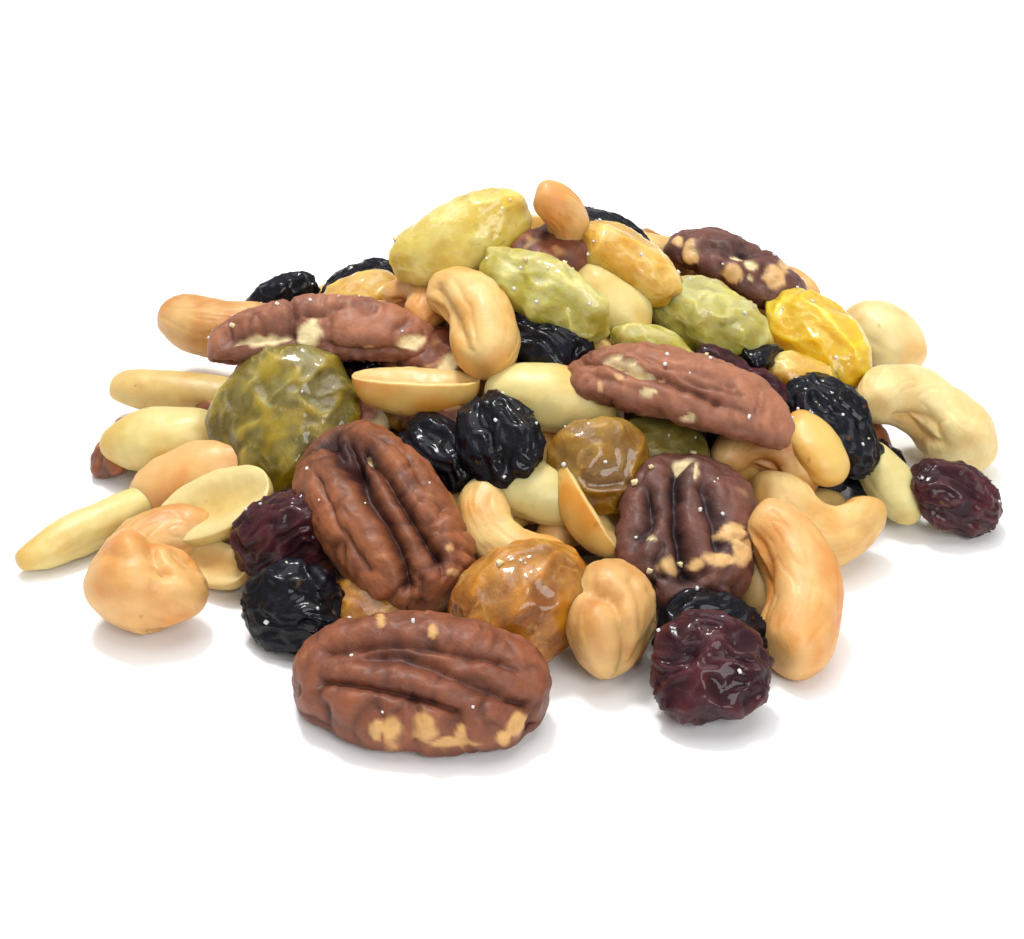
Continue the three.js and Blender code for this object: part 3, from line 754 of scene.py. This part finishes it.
def golden_finish(a, b, size, grain, tint, marks):
    swirled = warped(grain, 1.8, 5)
    dishes = np.abs(noise(swirled / [7.5, 5, 5]))
    wrinkles = np.abs(noise(swirled / [4, 2.4, 2.4] + 5))
    ridge = crease(wrinkles, 0.06) * ease(noise(grain / 4 + 33), -0.4, 0.2)
    deep = 0.9 * (0.3 - dishes ** 0.8) + 0.25 * (0.25 - wrinkles) + 0.1 * ridge
    relief = deep * size.get("rugged", 1) + bumps(grain, (0.1, 1.5, 0), (0.05, 0.7, 0))
    # A pale frosted film, painted stronger on up-facing skin as the sky's reflection, and pale painted
    # highlights along the ridges.
    film_and_sheen = ease(marks["up"] + bumps(grain, (0.7, 3, 27), (0.4, 0.9, 0)), 0.1, 1.2)
    pale = 0.28 * film_and_sheen + 0.3 * ridge
    return relief, raisin_colour(relief, grain, tint, pale, 0.35), np.zeros(len(a))


def dark_finish(a, b, size, grain, tint, marks):
    swirled = warped(grain, 1.3, 3.5)
    dishes = np.abs(noise(swirled / [8, 3, 3]))
    wrinkles = np.abs(noise(swirled / [4.5, 1.5, 1.5] + 5))
    crests = np.abs(noise(swirled / [3, 0.95, 0.95] + 15))
    relief = 1.15 * (0.36 - dishes ** 0.75) + 0.6 * (0.3 - wrinkles ** 0.8) + 0.22 * (0.3 - crests)
    relief *= size.get("rugged", 1)
    # A pale film in random patches, painted stronger on up-facing skin as the sky's reflection, and
    # pale painted highlights along the wrinkles' crests.
    film_and_sheen = ease(noise(grain / 3.5 + 27) + 0.5 * marks["up"], 0, 1.2)
    pale = 0.25 * crease(wrinkles, 0.12) + 0.1 * film_and_sheen
    return relief, raisin_colour(relief, grain, tint, pale, 0.5), np.zeros(len(a))


FORMS = {
    "pecan": (pecan_form, pecan_finish),
    "bit": (bit_form, bit_finish),
    "cashew": (cashew_form, cashew_finish),
    "peanut": (peanut_form, peanut_finish),
    "split": (split_form, split_finish),
    "golden": (raisin_form, golden_finish),
    "dark": (raisin_form, dark_finish),
}

# ---- Meshes ----


@lru_cache
def ball(sides):
    """A unit ball made of six square grids, as its points and its quads."""
    steps = np.tan(np.linspace(-np.pi / 4, np.pi / 4, sides + 1))
    right, up = np.meshgrid(steps, steps, indexing="ij")
    front = np.ones_like(right)
    grids = []
    for axis in range(3):
        for sign in (1, -1):
            grid = np.stack([sign * front, right, sign * up], axis=-1)
            grids.append(np.roll(grid, axis, axis=-1))
    points = np.concatenate([grid.reshape(-1, 3) for grid in grids])
    count = sides + 1
    index = np.arange(count * count).reshape(count, count)
    quads = np.stack([index[:-1, :-1], index[1:, :-1], index[1:, 1:], index[:-1, 1:]], axis=-1)
    quads = quads.reshape(-1, 4)
    quads = np.concatenate([quads + face * count * count for face in range(6)])
    _, first, merged = np.unique(points.round(6), axis=0, return_index=True, return_inverse=True)
    points = points[first]
    return points / np.linalg.norm(points, axis=1, keepdims=True), merged.ravel()[quads]


def normals_of(points, quads):
    """The direction that the skin faces at each point."""
    corners = points[quads]
    facing = np.cross(corners[:, 2] - corners[:, 0], corners[:, 3] - corners[:, 1])
    total = np.stack([
        np.bincount(quads.ravel(), np.repeat(facing[:, axis], 4), len(points)) for axis in range(3)
    ], axis=1)
    return total / np.maximum(np.linalg.norm(total, axis=1, keepdims=True), 1e-12)


def make_piece(row, number, fineness):
    """One finished piece, in the layout's millimetres.

    It is set down once bare, to see where its marks come, and once more with its relief.
    """
    kind, x, y, lift, length, turn, tip, roll, tint, special = row
    form, finish = FORMS[kind]
    size = {**KINDS[kind], **special, "length": length, "number": number}
    sides = 2 * max(3, round(length * size["fineness"] * fineness / 2))
    directions, quads = ball(sides)
    a = np.arccos(np.clip(directions[:, 0], -1, 1))
    b = np.arctan2(directions[:, 2], directions[:, 1]) % (2 * np.pi)
    skin = form(a, b, size)
    outward = normals_of(skin, quads)
    grain = skin + number * np.array([17.3, 31.7, 5.9])
    pose = turning(x, y, turn, tip, roll, special.get("level", False)).T
    height = max(mound_height(x, y) + lift, -(skin @ pose)[:, 2].min())
    middle = np.array([x, y, height])
    marks = marked(skin @ pose + middle, outward @ pose, middle, grain, special.get("marks"))
    relief, colour, raw = finish(a, b, size, grain, tint, marks)
    skin = (skin + outward * (relief - marks["dent"])[:, None]) @ pose
    height = max(mound_height(x, y) + lift, -skin[:, 2].min())
    return {
        "points": skin + [x, y, height],
        "quads": quads,
        "colour": colour,
        "grain": grain,
        "raw": raw,
    }


def back_rows():
    """The rows of the back slope, in the same form as PIECES."""
    rows = []
    for distance, count, first, last, lift, level in BACK_RINGS:
        for i in range(count):
            number = len(rows)
            kind, usual, tint = BACK_KINDS[number % len(BACK_KINDS)]
            place = number * SPREAD_PLACE % 1
            turn = number * SPREAD_TURN % 1
            roll = number * SPREAD_ROLL % 1
            bearing = first + (last - first) * (i + 0.25 + 0.5 * place) / count
            angle = np.radians(bearing)
            low, high = BACK_DIP_BEARINGS
            slide = np.clip((bearing - low) / (high - low), 0, 1)
            reach = (distance + BACK_DISTANCE_SPREAD * (turn - 0.5)) * (1 - BACK_PULL * slide)
            rows.append((
                kind,
                MOUND_MIDDLE[0] + reach * np.cos(angle),
                MOUND_MIDDLE[1] + reach * np.sin(angle),
                lift - BACK_DIP * slide,
                usual * (1 + BACK_LENGTH_SPREAD * (place - 0.5)),
                360 * turn,
                0 if level else BACK_TIP_SPREAD * (place - 0.5),
                0 if level else BACK_ROLL_SPREAD * (roll - 0.5),
                tint,
                {"level": level},
            ))
    return rows


def fill_rows():
    """The rows of the sunken pieces, evenly spread over the mound."""
    rows = []
    for i in range(FILL_COUNT):
        kind, length, tint = FILL_KINDS[i % len(FILL_KINDS)]
        way = np.array([np.cos(i * GOLDEN_ANGLE), np.sin(i * GOLDEN_ANGLE)])
        out = FILL_SHARE * np.sqrt((i + 0.5) / FILL_COUNT)
        if way[1] > 0:
            out = min(out, FILL_BACK_SHARE)
        x, y = MOUND_MIDDLE + MOUND_REACH * out * way
        rows.append((kind, x, y, FILL_LIFT, length, 360 * (i * SPREAD_TURN % 1), 0, 0, tint, {}))
    return rows


def all_pieces():
    """Every piece, gathered by kind."""
    back = back_rows()
    fill = fill_rows()
    gathered = {kind: [] for kind in KINDS}
    fineness = [1] * len(PIECES) + [BACK_FINENESS] * len(back) + [FILL_FINENESS] * len(fill)
    for number, row in enumerate(PIECES + back + fill):
        gathered[row[0]].append(make_piece(row, number, fineness[number]))
    return gathered


def joined(pieces, key):
    return np.concatenate([piece[key] for piece in pieces])


def add_values(mesh, name, kind, key, values):
    """Keep a value for each point on the mesh, where the materials find it by its name."""
    attribute = mesh.attributes.new(name, kind, "POINT")
    attribute.data.foreach_set(key, values.astype(np.float32).ravel())


def add_object(name, pieces, material):
    """One Blender object from the pieces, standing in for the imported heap."""
    starts = np.cumsum([0] + [len(piece["points"]) for piece in pieces])
    points = (joined(pieces, "points") - MIDDLE) * MILLIMETRE
    quads = np.concatenate([piece["quads"] + start for piece, start in zip(pieces, starts)])
    mesh = bpy.data.meshes.new(name)
    mesh.from_pydata(points, [], quads, shade_flat=False)
    opaque = np.pad(joined(pieces, "colour").clip(0, 1), ((0, 0), (0, 1)), constant_values=1)
    add_values(mesh, "tint", "FLOAT_COLOR", "color", opaque)
    add_values(mesh, "grain", "FLOAT_VECTOR", "vector", joined(pieces, "grain"))
    add_values(mesh, "raw", "FLOAT", "value", joined(pieces, "raw"))
    mesh.materials.append(material)
    piece = new_object(name, mesh)
    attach(piece, "root")
    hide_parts(NODE)


# ---- The core, salt and crumbs ----

# How far the core's top lies below the mound, its foot as a share of the mound's, how high and
# wide its lumps are, and how far its base is above the surface.
CORE_DEPTH = 7.5
CORE_FOOT = 0.58
CORE_LUMP = 1.2
CORE_LUMP_WIDTH = 5
CORE_BASE = 0.2
CORE_SIDES = 40
# Darker browns than the nuts', so that where the core shows between pieces it passes for nuts in shade:
# painted shade.
CORE_COLOURS = linear(((120, 80, 52), (190, 140, 84)))
CORE_PATCH = 6


def make_core():
    """The heap's inside: a lumpy mound below the sunken pieces, flat underneath."""
    directions, quads = ball(CORE_SIDES)
    out = np.hypot(directions[:, 0], directions[:, 1])
    steep = np.arctan2(directions[:, 2], out) / (np.pi / 2)
    share = 1 - np.abs(steep)
    way = directions[:, :2] / np.maximum(out, 1e-9)[:, None]
    flat = way * share[:, None] * CORE_FOOT * MOUND_REACH
    height = MOUND_HEIGHT * (1 - (share * CORE_FOOT) ** MOUND_POWER) - CORE_DEPTH
    points = np.concatenate([flat + MOUND_MIDDLE, height[:, None]], axis=1)
    points[:, 2] += CORE_LUMP * noise(points / CORE_LUMP_WIDTH)
    height = np.where(directions[:, 2] < -1e-6, CORE_BASE, np.maximum(points[:, 2], CORE_BASE))
    points[:, 2] = height
    return {
        "points": points,
        "quads": quads,
        "colour": mix(*CORE_COLOURS, 0.5 + noise(points / CORE_PATCH)),
        "grain": points,
        "raw": np.zeros(len(points)),
    }


# For each kind of grain: the pieces that it lies on, how many there are, the least and the most
# that half a grain measures, its mesh sides, its colour, and how lumpy it is.
GRAINS = {
    "salt_grains": (("pecan", "dark", "golden"), 150, (0.12, 0.28), 2, SALT, 0.1),
    "crumbs": (("pecan", "golden", "bit"), 16, (0.2, 0.42), 4, PECAN_FLESH, 0.5),
}
# They lie on skin that faces at least this far up, above this height, and sink in a little.
GRAIN_UP = 0.25
GRAIN_HEIGHT = 3
GRAIN_RISE = 0.4
GRAIN_STRETCH = (0.7, 1.2)
GRAIN_SQUARENESS = 0.6


def scatter(gathered, kinds, count, sizes, sides, colour, lumpiness):
    """Grains that lie on the upper skin of the given kinds of piece."""
    pieces = [piece for kind in kinds for piece in gathered[kind]]
    points = joined(pieces, "points")
    normals = np.concatenate([normals_of(piece["points"], piece["quads"]) for piece in pieces])
    open_skin = np.flatnonzero((normals[:, 2] > GRAIN_UP) & (points[:, 2] > GRAIN_HEIGHT))
    directions, quads = ball(sides)
    boxy = directions / np.abs(directions).max(axis=1, keepdims=True) ** GRAIN_SQUARENESS
    grains = []
    for place in DRAW.choice(open_skin, count, replace=False):
        size = DRAW.uniform(*sizes)
        stretch = DRAW.uniform(*GRAIN_STRETCH, 3)
        turned = np.linalg.qr(DRAW.normal(size=(3, 3)))[0]
        if np.linalg.det(turned) < 0:
            turned = -turned
        lumps = 1 + lumpiness * noise(boxy * 1.7 + place)
        middle = points[place] + normals[place] * size * GRAIN_RISE
        skin = (boxy * lumps[:, None] * stretch * size) @ turned + middle
        grains.append({
            "points": skin,
            "quads": quads,
            "colour": np.tile(colour, (len(skin), 1)),
            "grain": skin,
            "raw": np.ones(len(skin)),
        })
    return grains


# ---- Materials ----

# For each material: its roughness, from its smoothest to its roughest; its gloss, as specular,
# coat and the coat's roughness; its glow, as the share of light that goes in and how far each of
# its colours goes, in millimetres; and the strength and scale of its fine bumps and its mottling.
LOOKS = {
    "pecan": {
        "roughness": (0.42, 0.6), "gloss": (0.3, 0.12, 0.32), "glow": (0.1, (0.9, 0.4, 0.2)),
        "bump": (0.4, 1.6), "mottle": (0.14, 0.6),
    },
    "cashew": {
        "roughness": (0.38, 0.55), "gloss": (0.4, 0.1, 0.25), "glow": (0.4, (2.2, 1.2, 0.5)),
        "bump": (0.25, 1.2), "mottle": (0.07, 0.5),
    },
    "peanut": {
        "roughness": (0.36, 0.52), "gloss": (0.4, 0.12, 0.25), "glow": (0.4, (2, 1.3, 0.6)),
        "bump": (0.12, 1.2), "mottle": (0.06, 0.5),
    },
    "golden_raisin": {
        "roughness": (0.25, 0.4), "gloss": (0.25, 0.6, 0.08), "glow": (0.9, (3.6, 2.4, 0.5)),
        "bump": (0.35, 1.8), "mottle": (0.06, 0.5),
    },
    "dark_raisin": {
        "roughness": (0.26, 0.4), "gloss": (0.08, 0.34, 0.09), "glow": (0.1, (1, 0.3, 0.3)),
        "bump": (0.6, 2.2), "mottle": (0.16, 0.8),
    },
    "trail_mix": {
        "roughness": (0.3, 0.6), "gloss": (0.4, 0.2, 0.25), "glow": (0.3, (0.6, 0.6, 0.6)),
        "bump": (0.2, 3), "mottle": (0.05, 1),
    },
}
# The noise that makes the mottling stays mostly between these values.
MOTTLE_RANGE = {"From Min": 0.3, "From Max": 0.7}
# How much rougher a broken face is, and how high the fine bumps are.
RAW_ROUGHNESS = 0.3
BUMP_HEIGHT = 0.5


def set_inputs(node, inputs):
    for name, value in inputs.items():
        node.inputs[name].default_value = value


def add_node(material, kind, inputs):
    """A node of the material, with its constants set."""
    node = material.node_tree.nodes.new(kind)
    set_inputs(node, inputs)
    return node


def point_value(material, name):
    """A node that gives what add_values has kept."""
    node = add_node(material, "ShaderNodeAttribute", {})
    node.attribute_name = name
    return node


def new_material(name):
    """A material, its shader, and what links its nodes."""
    material = bpy.data.materials.new(name)
    material.use_nodes = True
    tree = material.node_tree
    return material, tree.nodes["Principled BSDF"], tree.links.new


def food_material(name, look):
    """A material whose colour comes from each point's tint, with fine mottling and bumps."""
    material, shader, link = new_material(name)
    grain = point_value(material, "grain")
    tint = point_value(material, "tint")
    raw = point_value(material, "raw")

    strength, scale = look["mottle"]
    settings = {"Scale": scale, "Detail": 5, "Roughness": 0.65}
    mottle = add_node(material, "ShaderNodeTexNoise", settings)
    link(grain.outputs["Vector"], mottle.inputs["Vector"])
    settings = {**MOTTLE_RANGE, "To Min": 1 - strength, "To Max": 1 + strength}
    shade = add_node(material, "ShaderNodeMapRange", settings)
    link(mottle.outputs["Fac"], shade.inputs["Value"])
    shaded = add_node(material, "ShaderNodeVectorMath", {})
    shaded.operation = "SCALE"
    link(tint.outputs["Color"], shaded.inputs[0])
    link(shade.outputs["Result"], shaded.inputs["Scale"])
    link(shaded.outputs["Vector"], shader.inputs["Base Color"])

    smooth, rough = look["roughness"]
    settings = {**MOTTLE_RANGE, "To Min": smooth, "To Max": rough}
    uneven = add_node(material, "ShaderNodeMapRange", settings)
    link(mottle.outputs["Fac"], uneven.inputs["Value"])
    dull = add_node(material, "ShaderNodeMath", {1: RAW_ROUGHNESS})
    dull.operation = "MULTIPLY_ADD"
    link(raw.outputs["Fac"], dull.inputs[0])
    link(uneven.outputs["Result"], dull.inputs[2])
    link(dull.outputs["Value"], shader.inputs["Roughness"])

    strength, scale = look["bump"]
    settings = {"Scale": scale, "Detail": 6, "Roughness": 0.6}
    fine = add_node(material, "ShaderNodeTexNoise", settings)
    link(grain.outputs["Vector"], fine.inputs["Vector"])
    settings = {"Strength": strength, "Distance": BUMP_HEIGHT * MILLIMETRE}
    bump = add_node(material, "ShaderNodeBump", settings)
    link(fine.outputs["Fac"], bump.inputs["Height"])
    link(bump.outputs["Normal"], shader.inputs["Normal"])

    specular, coat, coat_roughness = look["gloss"]
    glow, reach = look["glow"]
    set_inputs(shader, {
        "Specular IOR Level": specular,
        "Coat Weight": coat,
        "Coat Roughness": coat_roughness,
        "Subsurface Weight": glow,
        "Subsurface Radius": reach,
        "Subsurface Scale": MILLIMETRE,
    })
    return material


def floor_material():
    material, shader, _ = new_material("pale_floor")
    pale = (0.94, 0.94, 0.94, 1)
    set_inputs(shader, {"Base Color": pale, "Roughness": 0.9, "Specular IOR Level": 0.1})
    return material


# ---- Stage, light and camera ----

CAMERA_LENS = 68.9
CAMERA_SENSOR = 36

# Each light: its place and its size in metres, and its power in watts.
LIGHTS = {
    "key_light": ((-0.12, 0.22, 0.75), 0.15, 3.6),
    "overhead_light": ((0, 0.1, 0.9), 0.9, 4.6),
    "front_light": ((0.35, -0.75, 0.6), 0.5, 4.6),
}
SKY_STRENGTH = 0.42
FLOOR_SIZE = 6


def new_object(name, data):
    thing = bpy.data.objects.new(name, data)
    bpy.context.collection.objects.link(thing)
    return thing


def add_camera():
    camera = new_object("camera", bpy.data.cameras.new("camera"))
    camera.location = (CAMERA_PLACE - MIDDLE) * MILLIMETRE
    camera.rotation_euler = (np.radians(90 - CAMERA_ELEVATION), 0, 0)
    camera.data.lens = CAMERA_LENS
    camera.data.sensor_width = CAMERA_SENSOR
    camera.data.clip_start = 0.01
    bpy.context.scene.camera = camera


def add_light(name, place, size, power):
    light = bpy.data.lights.new(name, "AREA")
    light.shape = "DISK"
    light.size = size
    light.energy = power
    lamp = new_object(name, light)
    lamp.location = place
    lamp.rotation_euler = (-Vector(place)).to_track_quat("-Z", "Y").to_euler()


def add_stage():
    half = FLOOR_SIZE / 2
    mesh = bpy.data.meshes.new("floor")
    corners = [(-half, -half, 0), (half, -half, 0), (half, half, 0), (-half, half, 0)]
    mesh.from_pydata(corners, [], [(0, 1, 2, 3)])
    mesh.materials.append(floor_material())
    floor = new_object("floor", mesh)
    for name, (place, size, power) in LIGHTS.items():
        add_light(name, place, size, power)
    sky = bpy.data.worlds.new("soft_white")
    bpy.context.scene.world = sky
    sky.use_nodes = True
    background = sky.node_tree.nodes["Background"]
    background.inputs["Color"].default_value = (1, 1, 1, 1)
    background.inputs["Strength"].default_value = SKY_STRENGTH
    bpy.context.scene.view_settings.view_transform = "Standard"


# ---- The heap ----

OBJECTS = [
    ("pecan_halves", ("pecan",), "pecan"),
    ("pecan_bits", ("bit",), "pecan"),
    ("cashews", ("cashew",), "cashew"),
    ("peanuts", ("peanut", "split"), "peanut"),
    ("golden_raisins", ("golden",), "golden_raisin"),
    ("dark_raisins", ("dark",), "dark_raisin"),
]


def add_heap():
    materials = {name: food_material(name, look) for name, look in LOOKS.items()}
    gathered = all_pieces()
    for name, kinds, slot in OBJECTS:
        pieces = [piece for kind in kinds for piece in gathered[kind]]
        add_object(name, pieces, materials[slot])
    add_object("core", [make_core()], materials["trail_mix"])
    for name, grain in GRAINS.items():
        add_object(name, scatter(gathered, *grain), materials["trail_mix"])


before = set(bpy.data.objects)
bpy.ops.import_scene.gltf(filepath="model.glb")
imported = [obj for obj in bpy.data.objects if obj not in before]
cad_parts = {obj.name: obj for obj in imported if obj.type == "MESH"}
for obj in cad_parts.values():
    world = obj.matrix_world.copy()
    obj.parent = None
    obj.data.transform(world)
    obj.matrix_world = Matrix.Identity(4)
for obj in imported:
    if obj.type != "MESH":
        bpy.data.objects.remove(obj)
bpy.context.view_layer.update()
add_camera()
add_stage()
add_heap()
